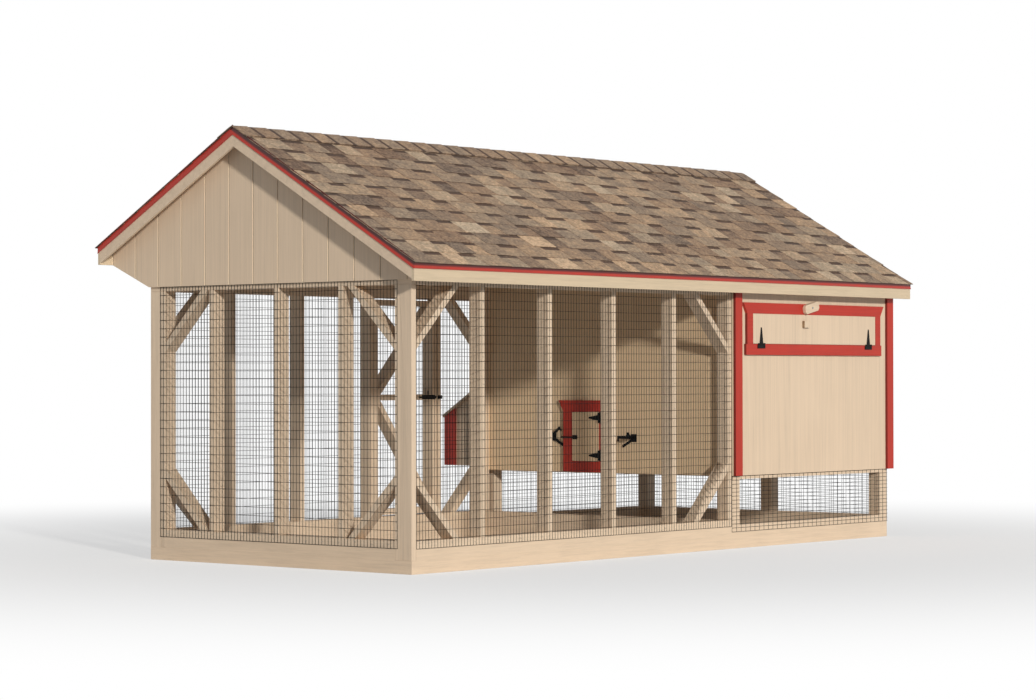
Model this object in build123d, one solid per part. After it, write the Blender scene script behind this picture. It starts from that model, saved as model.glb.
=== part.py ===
from build123d import *
import math
import os

# Driving sizes in mm: X along the length from the run gable, Y from the near long side, Z up
length = 4877.0  # over the base timbers
width = 2134.0  # over the base timbers
run_length = 3048.0  # run gable to the house partition
wall_height = 1622.0  # underside of the top beams
skid_height = 76.0  # lower base timbers
sill_height = 108.0  # upper base timbers
timber = 89.0  # wide side of the framing lumber
board = 38.0  # thin side of the framing lumber
stud_spacing = 610.0
brace_leg = 340.0  # corner to the middle of a knee brace's end
near_pitch = 0.574  # rise over run
far_pitch = 0.5625
ridge_share = 0.6115  # ridge position over the width
gable_overhang = 113.0  # gable plane to the barge face
near_eave = 123.0  # wall plane to the fascia face
far_eave = 350.0
floor_height = 538.0  # top of the house floor
sheet = 16.0  # siding and panels
trim = 19.0  # thickness of trim, fascia and barge boards
trim_width = 76.0
shingle_depth = 7.0
deck_depth = 15.0
shingle_lap = 17.0  # shingles past the fascia
course = 143.0  # shingle exposure along the slope
mesh_gauge = 2.0
mesh_pitch_along = 102.0  # coarse net that stands for the welded wire
mesh_pitch_up = 152.0
mesh_bar = 6.0

# Clearances
door_gap = 2.0  # round a hinged panel
swing_gap = 10.0  # on the latch side of the deep run door
pin_gap = 0.05  # radial, between pins and knuckles
knuckle_gap = 0.3  # along a hinge axis

# Heights and stations that follow from the driving sizes
base_top = skid_height + sill_height
house_base_top = base_top - 34  # sills under the house are shallower
beam_top = wall_height + timber
gable_bottom = wall_height + 27
mesh_bottom = base_top - 44
skirt_bottom = base_top - 79
ridge_y = ridge_share * width
stretch = math.hypot(1, near_pitch)  # plumb depth of a roof layer over its thickness
cover_depth = shingle_depth + deck_depth
roof_depth = cover_depth + timber
heel_drop = board / 2
apex = beam_top - heel_drop + roof_depth * stretch + near_pitch * ridge_y
joist_top = floor_height - sheet + 1
joist_bottom = joist_top - timber + 26
rim_bottom = joist_bottom - 18  # the near rim joist is deeper than the others
siding_bottom = joist_bottom + 6
siding_top = gable_bottom - 4
house_length = length - run_length


def block(x0, x1, y0, y1, z0, z1):
    """Board or timber between two corners."""
    return Pos((x0 + x1) / 2, (y0 + y1) / 2, (z0 + z1) / 2) * Box(x1 - x0, y1 - y0, z1 - z0)


def prism_x(points, x0, x1):
    """Outline in Y and Z carried from x0 to x1."""
    outline = Wire.make_polygon([(x0, y, z) for y, z in points], close=True)
    return Solid.extrude(Face(outline), Vector(x1 - x0, 0, 0))


def prism_y(points, y0, y1):
    """Outline in X and Z carried from y0 to y1."""
    outline = Wire.make_polygon([(x, y0, z) for x, z in points], close=True)
    return Solid.extrude(Face(outline), Vector(0, y1 - y0, 0))


def roof(y, depth=0.0):
    """Height at y of the layer that lies depth under the shingle surface."""
    drop = near_pitch * (ridge_y - y) if y <= ridge_y else far_pitch * (y - ridge_y)
    return apex - drop - depth * stretch


def slope_slab(y0, y1, top, bottom, x0, x1):
    """Sheet or board that follows one roof slope, with plumb ends."""
    upper = [(y0, roof(y0, top)), (y1, roof(y1, top))]
    lower = [(y1, roof(y1, bottom)), (y0, roof(y0, bottom))]
    return prism_x(upper + lower, x0, x1)


nodes = {}

# Base: a ring of lower timbers, end ones full width, with sills between the corner posts
end_x = length - timber
far_y = width - timber
cross_x = run_length - timber
corner = timber + board
nodes["skids"] = [block(x, x + timber, 0, width, 0, skid_height) for x in (0, end_x)]
nodes["skids"] += [block(timber, end_x, y, y + timber, 0, skid_height) for y in (0, far_y)]
nodes["skids"].append(block(cross_x, run_length, timber, far_y, 0, skid_height))
nodes["sills"] = [block(board, run_length, y, y + timber, skid_height, base_top) for y in (0, far_y)]
nodes["sills"].append(block(0, timber, corner, width - corner, skid_height, base_top))
nodes["sills"].append(block(cross_x, run_length, timber, far_y, skid_height, base_top))
for y, x1 in ((0, end_x), (far_y, length - board)):
    nodes["sills"].append(block(run_length, x1, y, y + timber, skid_height, house_base_top))
nodes["sills"].append(block(end_x, length, timber, far_y, skid_height, house_base_top))

# Posts: the run corners are pairs of studs set at right angles, the house corners are square;
# the far one of the house stands on a pair of studs
nodes["posts"] = []
for y_long, y_cross in ((0, timber), (far_y, far_y - board)):
    nodes["posts"].append(block(0, board, y_long, y_long + timber, skid_height, wall_height))
    nodes["posts"].append(block(0, timber, y_cross, y_cross + board, skid_height, wall_height))
nodes["posts"].append(block(end_x, length, 0, timber, skid_height, wall_height))
nodes["posts"].append(block(end_x, length, far_y, width, joist_bottom, wall_height))
nodes["posts"].append(block(length - board, length, far_y, width, skid_height, joist_bottom))
nodes["posts"].append(block(end_x, length, far_y - board, far_y, house_base_top, joist_bottom))

# Short legs under the house: one in its end wall, two under the partition
leg_y = 0.4255 * width
leg_x = run_length + timber / 2
nodes["posts"].append(block(end_x, length, leg_y, leg_y + timber, house_base_top, joist_bottom))
nodes["posts"].append(block(run_length, run_length + timber, 0, timber, house_base_top, rim_bottom))
nodes["posts"].append(block(leg_x, leg_x + timber, far_y, width, house_base_top, joist_bottom))

# Studs between sills and top beams; the far side has a doorway between its two door studs
run_end = run_length - board
door_stud_left = 3 * stud_spacing + board / 2
door_stud_right = 4 * stud_spacing + 72
stud_steps = range(1, math.ceil((run_end - board) / stud_spacing))
near_xs = [step * stud_spacing - board / 2 for step in stud_steps] + [run_end]
far_xs = [stud_spacing - board / 2, 2 * stud_spacing - board / 2, door_stud_left, door_stud_right, run_end]
gable_share = (0.256, 0.499, 0.752)
nodes["run_studs"] = [block(x, x + board, 0, timber, base_top, wall_height) for x in near_xs]
nodes["run_studs"] += [block(x, x + board, far_y, width, base_top, wall_height) for x in far_xs]
for share in gable_share:
    y = share * width - board / 2
    nodes["run_studs"].append(block(0, timber, y, y + board, base_top, wall_height))


# Knee braces at 45 degrees in the top and bottom corners of the three run walls
def knee(along, level, side, up):
    """Outline of a brace between a post face and a beam face, both ends cut to the faces."""
    half = board * math.sqrt(0.5)
    outer = brace_leg + half
    inner = brace_leg - half
    post_end = [(along, level + up * inner), (along, level + up * outer)]
    beam_end = [(along + side * outer, level), (along + side * inner, level)]
    return post_end + beam_end


nodes["knee_braces"] = []
for level, up in ((wall_height, -1), (base_top, 1)):
    for y in (0, far_y):
        nodes["knee_braces"].append(prism_y(knee(board, level, 1, up), y, y + timber))
        nodes["knee_braces"].append(prism_y(knee(run_end, level, -1, up), y, y + timber))
    nodes["knee_braces"].append(prism_x(knee(corner, level, 1, up), 0, timber))
    nodes["knee_braces"].append(prism_x(knee(width - corner, level, -1, up), 0, timber))

# Top beams on the posts; over the far one a short wall carries the higher eave
nodes["top_beams"] = [block(0, length, y, y + timber, wall_height, beam_top) for y in (0, far_y)]
for x in (0, end_x):
    nodes["top_beams"].append(block(x, x + timber, timber, far_y, wall_height, beam_top))
plate_top = roof(width, roof_depth) + board * far_pitch
plate_bottom = plate_top - board
rafter_count = 9
rafter_xs = [i * (length - board) / (rafter_count - 1) for i in range(rafter_count)]
nodes["far_upper_wall"] = [block(0, length, far_y, width, plate_bottom, plate_top)]
for x in rafter_xs:
    nodes["far_upper_wall"].append(block(x, x + board, far_y, width, beam_top, plate_bottom))

# Rafters in pairs against a ridge board, seated on the beams by bird's-mouth cuts, tails cut level
near_back = trim - near_eave
far_back = width + far_eave - trim
near_fascia_bottom = roof(-near_eave, cover_depth) - timber
far_fascia_bottom = roof(width + far_eave, cover_depth) - timber
tail_rise = 16.0  # rafter tails end this far above the fascia's lower edge


def rafter_y(z, far):
    """Station where the rafter underside passes a height."""
    drop = apex - roof_depth * stretch - z
    return ridge_y + drop / far_pitch if far else ridge_y - drop / near_pitch


def rafter(wall_face, back, ridge_face, seat, tail, far):
    """Outline of one rafter from its ridge cut to its seat and tail."""
    top = [(back, roof(back, cover_depth)), (ridge_face, roof(ridge_face, cover_depth))]
    foot = [(ridge_face, roof(ridge_face, roof_depth)), (rafter_y(seat, far), seat)]
    heel = [(wall_face, seat), (wall_face, roof(wall_face, roof_depth))]
    return top + foot + heel + [(rafter_y(tail, far), tail), (back, tail)]


ridge_near = ridge_y - board / 2
ridge_far = ridge_y + board / 2
near_rafter = rafter(0, near_back, ridge_near, beam_top, near_fascia_bottom + tail_rise, False)
far_rafter = rafter(width, far_back, ridge_far, plate_top, far_fascia_bottom + tail_rise, True)
nodes["rafters"] = [prism_x(near_rafter, x, x + board) for x in rafter_xs]
nodes["rafters"] += [prism_x(far_rafter, x, x + board) for x in rafter_xs]
ridge_top = min(roof(ridge_near, cover_depth), roof(ridge_far, cover_depth))
nodes["ridge_board"] = [block(0, length, ridge_near, ridge_far, ridge_top - timber, ridge_top)]

# Blocking between the near rafters closes the gap over the beam
for left, right in zip(rafter_xs, rafter_xs[1:]):
    block_top = roof(board, cover_depth) - 4
    nodes["rafters"].append(block(left + board, right, board, 2 * board, beam_top, block_top))

# Deck sheets, shingles in stepped courses, and bent caps along the ridge
barge_x = gable_overhang - trim
shingle_x = gable_overhang + 12
near_tip = -near_eave - shingle_lap
far_tip = width + far_eave + shingle_lap
nodes["roof_deck"] = [
    slope_slab(-near_eave, ridge_y, shingle_depth, cover_depth, -barge_x, length + barge_x),
    slope_slab(width + far_eave, ridge_y, shingle_depth, cover_depth, -barge_x, length + barge_x),
]


def shingle_slope(tip):
    """Stepped section from the eave tip to the ridge, one step per course."""
    count = round(abs(ridge_y - tip) * stretch / course)
    step = (ridge_y - tip) / count
    outline = [(tip, roof(tip, shingle_depth))]
    for i in range(count):
        outline.append((tip + i * step, roof(tip + i * step)))
        outline.append((tip + (i + 1) * step, roof(tip + (i + 1) * step, 0.5 * shingle_depth)))
    outline.append((ridge_y, roof(ridge_y, shingle_depth)))
    return prism_x(outline, -shingle_x, length + shingle_x)


nodes["near_shingles"] = [shingle_slope(near_tip)]
nodes["far_shingles"] = [shingle_slope(far_tip)]
cap_reach = 140.0
cap_depth = 9.0
cap_near = ridge_y - cap_reach
cap_far = ridge_y + cap_reach
cap_under = [(y, roof(y)) for y in (cap_near, ridge_y, cap_far)]
cap_over = [(y, roof(y, -cap_depth)) for y in (cap_far, ridge_y, cap_near)]
nodes["ridge_cap"] = [prism_x(cap_under + cap_over, -shingle_x, length + shingle_x)]

# Fascia along the eaves, barge boards along the rakes, and the metal drip edges on both
fascia_x = gable_overhang
near_fascia_top = near_fascia_bottom + timber
far_fascia_top = far_fascia_bottom + timber
nodes["fascia_boards"] = [
    block(-fascia_x, length + fascia_x, -near_eave, near_back, near_fascia_bottom, near_fascia_top),
    block(-fascia_x, length + fascia_x, far_back, width + far_eave, far_fascia_bottom, far_fascia_top),
]
barge_depth = shingle_depth + timber + 3
nodes["barge_boards"] = []
nodes["drip_edges"] = []
drip = 2.0
rake_drip = 30.0
eave_drip = 26.5
for x0, x1, out0, out1 in (
    (-gable_overhang, -barge_x, -gable_overhang - drip, -gable_overhang),
    (length + barge_x, length + gable_overhang, length + gable_overhang, length + gable_overhang + drip),
):
    for y_end, y_drip in ((near_back, -near_eave), (far_back, width + far_eave)):
        nodes["barge_boards"].append(slope_slab(y_end, ridge_y, shingle_depth, barge_depth, x0, x1))
        rake = slope_slab(y_drip, ridge_y, shingle_depth, shingle_depth + rake_drip, out0, out1)
        nodes["drip_edges"].append(rake)
drip_x = gable_overhang + drip
near_drip_top = roof(-near_eave - drip, shingle_depth)
far_drip_top = roof(width + far_eave + drip, shingle_depth)
for y, top in ((-near_eave - drip, near_drip_top), (width + far_eave, far_drip_top)):
    nodes["drip_edges"].append(block(-drip_x, length + drip_x, y, y + drip, top - eave_drip, top))

# Sloped soffit under the far eave and the gable siding with vertical grooves
soffit_end = far_fascia_bottom + 2
soffit_rise = (soffit_end - gable_bottom) / (far_back - width)
soffit_lift = 12 * math.hypot(1, soffit_rise)
soffit_under = [(width, gable_bottom), (far_back, soffit_end)]
soffit_over = [(far_back, soffit_end + soffit_lift), (width, gable_bottom + soffit_lift)]
nodes["far_soffit"] = [prism_x(soffit_under + soffit_over, 0, length)]
gable_outline = [
    (near_back, gable_bottom),
    (width, gable_bottom),
    (far_back, soffit_end),
    (far_back, roof(far_back, cover_depth)),
    (ridge_y, roof(ridge_y, cover_depth)),
    (near_back, roof(near_back, cover_depth)),
]
groove_step = 203.2
groove_start = 19.0
groove_width = 8.0
groove_depth = 4.0


def grooved(outline, x0, x1, face):
    """Siding panel with a row of vertical grooves in one face."""
    panel = prism_x(outline, x0, x1)
    low = min(z for y, z in outline)
    y = groove_start - groove_step
    while y < width + far_eave:
        if y > near_back + groove_width:
            cut = (face - groove_depth, face + groove_depth)
            panel -= block(cut[0], cut[1], y - groove_width / 2, y + groove_width / 2, low - 1, apex)
        y += groove_step
    return panel


nodes["run_gable_siding"] = [grooved(gable_outline, -sheet, 0, -sheet)]


# Welded mesh on the outer faces of the run and under the house, drawn as coarse flat nets
def net(plane, at, u0, u1, z0, z1):
    """Flat net in a long wall (plane "y") or an end wall (plane "x"), one holed face made thick."""
    def rectangle(a0, a1, b0, b1):
        ring = [(a0, b0), (a1, b0), (a1, b1), (a0, b1)]
        if plane == "y":
            return Wire.make_polygon([(a, at, b) for a, b in ring], close=True)
        return Wire.make_polygon([(at, a, b) for a, b in ring], close=True)

    columns = max(1, round((u1 - u0 - mesh_bar) / mesh_pitch_along))
    rows = max(1, round((z1 - z0 - mesh_bar) / mesh_pitch_up))
    step_u = (u1 - u0 - mesh_bar) / columns
    step_z = (z1 - z0 - mesh_bar) / rows
    gaps = []
    for i in range(columns):
        for j in range(rows):
            a = u0 + mesh_bar + i * step_u
            b = z0 + mesh_bar + j * step_z
            gaps.append(rectangle(a, a + step_u - mesh_bar, b, b + step_z - mesh_bar))
    through = Vector(0, mesh_gauge, 0) if plane == "y" else Vector(mesh_gauge, 0, 0)
    return Solid.extrude(Face(rectangle(u0, u1, z0, z1), gaps), through)


mesh_top = wall_height + 22
skirt_top = siding_bottom - 2
doorway_left = door_stud_left + board
nodes["near_mesh"] = [net("y", -mesh_gauge, board, run_length, mesh_bottom, mesh_top)]
nodes["gable_mesh"] = [net("x", -mesh_gauge, timber + 18, width - timber + 3, mesh_bottom, gable_bottom)]
nodes["far_mesh"] = [
    net("y", width, board, doorway_left, mesh_bottom, mesh_top),
    net("y", width, door_stud_right, run_length, mesh_bottom, mesh_top),
]
nodes["skirt_mesh"] = [
    net("y", -mesh_gauge, run_length + door_gap, length, skirt_bottom, skirt_top),
    net("y", width, run_length + door_gap, length, skirt_bottom, skirt_top),
    net("x", length, 0, width, skirt_bottom, skirt_top),
]

# House floor: rim joists, joists across, and a sheet on top
house_x = run_length + sheet
joist_count = 5
joist_step = (length - board - house_x) / (joist_count - 1)
nodes["floor_joists"] = [
    block(house_x, end_x, 0, board, rim_bottom, joist_top),
    block(house_x, end_x, width - board, width, joist_bottom, joist_top),
]
for i in range(joist_count - 1):
    x = house_x + i * joist_step
    nodes["floor_joists"].append(block(x, x + board, board, width - board, joist_bottom, joist_top))
nodes["floor_joists"].append(block(length - board, length, timber, far_y, joist_bottom, joist_top))
nodes["house_floor"] = [
    block(house_x, end_x, 0, width, joist_top, floor_height),
    block(end_x, length, timber, far_y, joist_top, floor_height),
]

# Openings of the house: vent in the near wall, pop hole in the partition, nests, clean-out door
vent_x0 = run_length + 193
vent_x1 = length - 193
vent_top = wall_height - 111
vent_bottom = vent_top - 198
stop = 12.0  # panels close against this much siding
pop_y0 = width / 2
pop_y1 = pop_y0 + 231
pop_top = floor_height + 331
nest_x0 = run_length + 54
nest_x1 = nest_x0 + house_length * 2 / 3
nest_bottom = floor_height - 50
nest_floor = nest_bottom + sheet
nest_hole_top = nest_floor + 340
clean_y0 = width / 2 - 350
clean_y1 = width / 2 + 350
clean_top = floor_height + 800


def around(hole, outer, make):
    """Four flat panels that leave one opening."""
    a0, a1, b0, b1 = hole
    u0, u1, v0, v1 = outer
    return [make(u0, a0, v0, v1), make(a1, u1, v0, v1), make(a0, a1, v0, b0), make(a0, a1, b1, v1)]


nodes["near_siding"] = around(
    (vent_x0 + stop, vent_x1 - stop, vent_bottom + stop, vent_top - stop),
    (run_length, length, siding_bottom, siding_top),
    lambda a, b, c, d: block(a, b, -sheet, 0, c, d),
)
nodes["far_siding"] = around(
    (nest_x0 + sheet, nest_x1 - sheet, nest_floor, nest_hole_top),
    (run_length, length, siding_bottom, siding_top),
    lambda a, b, c, d: block(a, b, width, width + sheet, c, d),
)
nodes["end_siding"] = around(
    (clean_y0 + stop, clean_y1 - stop, floor_height, clean_top - stop),
    (-sheet, width + sheet, siding_bottom, gable_bottom),
    lambda a, b, c, d: block(length, length + sheet, a, b, c, d),
)
nodes["end_siding"].append(grooved(gable_outline, length, length + sheet, length + sheet))
nodes["partition_siding"] = around(
    (pop_y0 + stop, pop_y1 - stop, floor_height, pop_top - stop),
    (0, width, siding_bottom, wall_height),
    lambda a, b, c, d: block(run_length, run_length + sheet, a, b, c, d),
)
partition_gable = [
    (timber, wall_height),
    (far_y, wall_height),
    (far_y, roof(far_y, roof_depth) - 1),
    (ridge_y, roof(ridge_y, roof_depth) - 1),
    (timber, roof(timber, roof_depth) - 1),
]
nodes["partition_siding"].append(prism_x(partition_gable, run_length, house_x))

# Wall studs, headers and jambs of the house
vent_sill_top = vent_bottom - 10
vent_header_bottom = vent_top + 10
stud_x = house_x + board
thirds = [run_length + house_length / 3, run_length + house_length * 2 / 3]
nest_header_top = nest_hole_top + board
nodes["house_studs"] = [block(house_x, stud_x, y, y + timber, floor_height, wall_height) for y in (0, far_y)]
nodes["house_studs"].append(block(stud_x, end_x, 0, timber, vent_sill_top - board, vent_sill_top))
nodes["house_studs"].append(block(stud_x, end_x, 0, timber, vent_header_bottom, wall_height))
nodes["house_studs"].append(block(stud_x, end_x, far_y, width, nest_hole_top, nest_header_top))
for x in thirds:
    nodes["house_studs"].append(block(x, x + board, 0, timber, floor_height, vent_sill_top - board))
    nodes["house_studs"].append(block(x, x + board, far_y, width, nest_header_top, wall_height))
for y in (clean_y0 - board, clean_y1):
    nodes["house_studs"].append(block(end_x, length, y, y + board, floor_height, wall_height))

# Roost bars across the house on cleats that clear the nest header
cleat_bottom = nest_header_top + 7
roost_height = min(cleat_bottom + timber, vent_sill_top - 2 * board - 1)
nodes["roost_bars"] = []
for share in (0.5, 5 / 6):
    x = run_length + share * house_length
    nodes["roost_bars"].append(block(x, x + board, 0, width, roost_height, roost_height + board))
    for y in (0, width - board):
        nodes["roost_bars"].append(block(x, x + board, y, y + board, cleat_bottom, roost_height))

# Red trim: house corners, vent surround, pop hole surround, clean-out surround
near_face = -sheet - trim
far_face = width + sheet + trim
end_face = length + sheet + trim
nest_lid_top = floor_height + 520  # lid surface where it meets the wall
far_trim_bottom = nest_lid_top + 90
end_trim = end_face - trim_width
nodes["corner_trims"] = [
    block(run_length, run_length + trim_width, near_face, -sheet, siding_bottom, siding_top),
    block(run_length, run_length + trim_width, width + sheet, far_face, far_trim_bottom, siding_top),
    block(end_trim, end_face, near_face, -sheet, siding_bottom, siding_top),
    block(end_trim, end_face, width + sheet, far_face, siding_bottom, siding_top),
]
for y in (near_face + trim, far_face - trim_width):
    wrap = y + trim_width - trim
    nodes["corner_trims"].append(block(length + sheet, end_face, y, wrap, siding_bottom, siding_top))
stile = 63.0
vent_header = vent_top + 69
vent_rail = vent_bottom - 71
flare = 42.0
vent_head = [
    (vent_x0 - stile, vent_top),
    (vent_x1 + stile, vent_top),
    (vent_x1 + stile + flare, vent_header),
    (vent_x0 - stile - flare, vent_header),
]
nodes["vent_trim"] = [
    prism_y(vent_head, near_face, -sheet),
    block(vent_x0 - stile, vent_x0, near_face, -sheet, vent_bottom, vent_top),
    block(vent_x1, vent_x1 + stile, near_face, -sheet, vent_bottom, vent_top),
    block(vent_x0 - trim_width, vent_x1 + trim_width, near_face, -sheet, vent_rail, vent_bottom),
]
pop_face = run_length - trim
pop_head = [
    (pop_y0 - trim_width, pop_top),
    (pop_y1 + trim_width, pop_top),
    (pop_y1 + trim_width + flare, pop_top + trim_width),
    (pop_y0 - trim_width - flare, pop_top + trim_width),
]
nodes["pop_trim"] = [
    prism_x(pop_head, pop_face, run_length),
    block(pop_face, run_length, pop_y0 - trim_width, pop_y0, floor_height, pop_top),
    block(pop_face, run_length, pop_y1, pop_y1 + trim_width, floor_height, pop_top),
    block(pop_face, run_length, pop_y0 - trim_width, pop_y1 + trim_width, siding_bottom, floor_height),
]
end_skin = length + sheet
clean_left = clean_y0 - trim_width
clean_right = clean_y1 + trim_width
nodes["clean_trim"] = [
    block(end_skin, end_face, clean_left, clean_right, clean_top, clean_top + trim_width),
    block(end_skin, end_face, clean_left, clean_y0, floor_height, clean_top),
    block(end_skin, end_face, clean_y1, clean_right, floor_height, clean_top),
    block(end_skin, end_face, clean_left, clean_right, siding_bottom, floor_height),
]
nodes["vent_screen"] = [net("y", 0, vent_x0 - stop, vent_x1 + stop, vent_sill_top, vent_header_bottom)]

# Strap hinges: a butt and pin that stay put, and a tapered strap that turns with its panel
hinge_radius = 5.0
pin_radius = 2.5
leaf = 2.5  # plate thickness
strap_half = 13.0
butt_depth = 30.0
tip_half = 5.0
nodes["hinge_butts"] = []
nodes["hinge_pins"] = []


def rod(radius, u0, u1):
    """Round bar along the hinge axis."""
    return Pos((u0 + u1) / 2, 0, hinge_radius) * Rot(0, 90, 0) * Cylinder(radius, u1 - u0)


def add_butt(plane, half, root=strap_half):
    """Fixed leaf with two knuckles, and the pin through them."""
    inner = root + knuckle_gap
    outer = inner + root - 2
    butt = block(-half, half, -butt_depth, -hinge_radius - 0.7, 0, leaf)
    for u0, u1 in ((-outer, -inner), (inner, outer)):
        butt += block(u0, u1, -hinge_radius - 1, 0, 0, leaf) + rod(hinge_radius, u0, u1)
    butt -= rod(pin_radius + pin_gap, -half - 1, half + 1)
    nodes["hinge_butts"].append(plane.location * butt)
    nodes["hinge_pins"].append(plane.location * rod(pin_radius, -outer - 2, outer + 2))


def strap(plane, reach, root=strap_half):
    """Turning leaf: one knuckle and a tapered strap."""
    outline = [(-root, 14), (-root, 0), (root, 0), (root, 14), (tip_half, reach), (-tip_half, reach)]
    ring = Wire.make_polygon([(u, v, 0) for u, v in outline], close=True)
    plate = Solid.extrude(Face(ring), Vector(0, 0, leaf)) + rod(hinge_radius, -root, root)
    return plane.location * (plate - rod(pin_radius + pin_gap, -root - 1, root + 1))


# Vent flap: hinged at the bottom, with a pull block and a turn button above it
vent_hinge_z = vent_bottom + door_gap / 2
flap_x = (vent_x0 + door_gap, vent_x1 - door_gap)
flap_z = (vent_bottom + door_gap, vent_top - door_gap)
pull = 45.0
pull_x = (vent_x0 + vent_x1) / 2 - 161
pull_z = vent_top - 87
nodes["vent_flap"] = [block(*flap_x, near_face, -sheet, *flap_z)]
nodes["vent_flap"].append(block(pull_x, pull_x + 62, near_face - trim, near_face, pull_z, pull_z + pull))
nodes["vent_straps"] = []
for x in (vent_x0 + 90, vent_x1 - 90):
    plane = Plane(origin=(x, near_face, vent_hinge_z), x_dir=(1, 0, 0), z_dir=(0, -1, 0))
    add_butt(plane, 43, 19)
    nodes["vent_straps"].append(strap(plane, 107, 19))

screw_radius = 3.0
screw_head = 7.0
button_lift = 0.5


def turn_button(plane, half_long, half_wide, thick, tilt):
    """Wooden button with clipped corners on a screw that stands on the trim."""
    clip = half_wide * 0.45
    corners = []
    for su, sv in ((1, 1), (-1, 1), (-1, -1), (1, -1)):
        end = (su * half_long, sv * (half_wide - clip))
        side = (su * (half_long - clip), sv * half_wide)
        corners += [end, side] if su * sv > 0 else [side, end]
    outline = Wire.make_polygon([(u, v, button_lift) for u, v in corners], close=True)
    button = Solid.extrude(Face(outline), Vector(0, 0, thick))
    button = Rot(0, 0, tilt) * (button - Pos(0, 0, thick / 2) * Cylinder(screw_radius + pin_gap, 2 * thick))
    head_z = 2 * button_lift + thick
    screw = Pos(0, 0, head_z / 2) * Cylinder(screw_radius, head_z)
    screw += Pos(0, 0, head_z + 1.5) * Cylinder(screw_head, 3)
    return plane.location * button, plane.location * screw


button_x = (vent_x0 + vent_x1) / 2 - 78
button_z = vent_top + 45
plane = Plane(origin=(button_x, near_face, button_z), x_dir=(1, 0, 0), z_dir=(0, -1, 0))
button, screw = turn_button(plane, 80, 30, 25, 12)
nodes["vent_button"] = [button]
nodes["pivot_screws"] = [screw]

# Pop door in the partition: leaf, straps, striker rod, and a gravity latch for each end of its swing
leaf_face = pop_face
leaf_y = (pop_y0 + door_gap, pop_y1 - door_gap)
leaf_z = (floor_height + door_gap, pop_top - door_gap)
nodes["pop_leaf"] = [block(leaf_face, run_length, *leaf_y, *leaf_z)]
nodes["pop_straps"] = []
pop_axis = pop_y0 + door_gap / 2
for z in (floor_height + 40, pop_top - 40):
    plane = Plane(origin=(leaf_face, pop_axis, z), x_dir=(0, 0, 1), z_dir=(-1, 0, 0))
    add_butt(plane, 38, 17)
    nodes["pop_straps"].append(strap(plane, 86, 17))
striker_z = floor_height + 160
striker_y = pop_y1 + trim_width + 10
striker_radius = 5.0
striker_x = leaf_face - 9
striker = block(leaf_face - leaf, leaf_face, pop_y1 - 46, pop_y1 - 6, striker_z - 14, striker_z + 14)
striker += block(striker_x - 4, leaf_face, pop_y1 - 40, pop_y1 - 12, striker_z - 4, striker_z + 4)
rod_length = striker_y - pop_y1 + 40
rod_middle = Pos(striker_x, striker_y - rod_length / 2, striker_z)
nodes["pop_striker"] = [striker + rod_middle * Rot(90, 0, 0) * Cylinder(striker_radius, rod_length)]
arm_x = striker_x - striker_radius - 4  # arms pass in front of the rod
arm_gauge = 4.0
latch_half = 24.0
latch_pivot_z = striker_z + 4
nodes["latch_plates"] = []


def gravity_latch(pivot_y, side, lift):
    """Wall plate with a fixed prong and a pivot stud, and a hooked arm that rests at its lift."""
    edge = pivot_y - side * 12 - latch_half
    low = latch_pivot_z - 30
    plate = block(run_length - leaf, run_length, edge, edge + 2 * latch_half, low, low + 52)
    boss = run_length - (arm_x + 0.5)
    plate += Pos(run_length - boss / 2, pivot_y, latch_pivot_z) * Rot(0, 90, 0) * Cylinder(8, boss)
    pin = boss + arm_gauge + 4
    plate += Pos(run_length - pin / 2, pivot_y, latch_pivot_z) * Rot(0, 90, 0) * Cylinder(screw_radius, pin)
    plate += Pos(arm_x - arm_gauge - 2, pivot_y, latch_pivot_z) * Rot(0, 90, 0) * Cylinder(screw_head, 3)
    prong = [(8, -12), (80, -54), (74, -68), (-6, -24)]
    plate += prism_x([(pivot_y + side * u, latch_pivot_z + v) for u, v in prong], run_length - 6, run_length)
    outline = [(-14, -9), (82, -9), (82, -26), (95, -26), (95, 9), (24, 9), (14, 34), (2, 34), (-14, 9)]
    ring = [(arm_x - arm_gauge, side * u, v) for u, v in outline]
    arm = Solid.extrude(Face(Wire.make_polygon(ring, close=True)), Vector(arm_gauge, 0, 0))
    arm -= Pos(arm_x - arm_gauge / 2, 0, 0) * Rot(0, 90, 0) * Cylinder(screw_radius + pin_gap, 2 * arm_gauge)
    arm = Pos(0, pivot_y, latch_pivot_z) * Rot(side * lift, 0, 0) * arm
    return plate, arm


latch_lift = 40.0
closed_y = striker_y + 75
held_y = 2 * pop_axis - striker_y + 50
latches = (("latch_arm_closed", closed_y, -1, latch_lift), ("latch_arm_held", held_y, 1, 0))
for name, pivot_y, side, lift in latches:
    plate, arm = gravity_latch(pivot_y, side, lift)
    nodes["latch_plates"].append(plate)
    nodes[name] = [arm]

# Run door in the far wall: framed leaf with a middle rail, two diagonals, mesh and strap hinges
door_x0 = doorway_left + door_gap
door_x1 = door_stud_right - swing_gap
door_z0 = base_top + swing_gap
door_z1 = wall_height - swing_gap
middle_z = door_z0 + 0.532 * (door_z1 - door_z0)
inner_x0 = door_x0 + board
inner_x1 = door_x1 - board
nodes["run_door_frame"] = [block(x, x + board, far_y, width, door_z0, door_z1) for x in (door_x0, inner_x1)]
for z in (door_z0, middle_z, door_z1 - board):
    nodes["run_door_frame"].append(block(inner_x0, inner_x1, far_y, width, z, z + board))


def diagonal(za, zb):
    """Brace from the hinge side to the far corner of one field, trimmed to the field."""
    run = inner_x1 - inner_x0
    lift = 0.5 * board * math.hypot(run, zb - za) / run
    lower = [(inner_x0 - 1, za - lift), (inner_x1 + 1, zb - lift)]
    upper = [(inner_x1 + 1, zb + lift), (inner_x0 - 1, za + lift)]
    field = block(inner_x0, inner_x1, far_y, width, min(za, zb), max(za, zb))
    return prism_y(lower + upper, far_y, width) & field


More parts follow.
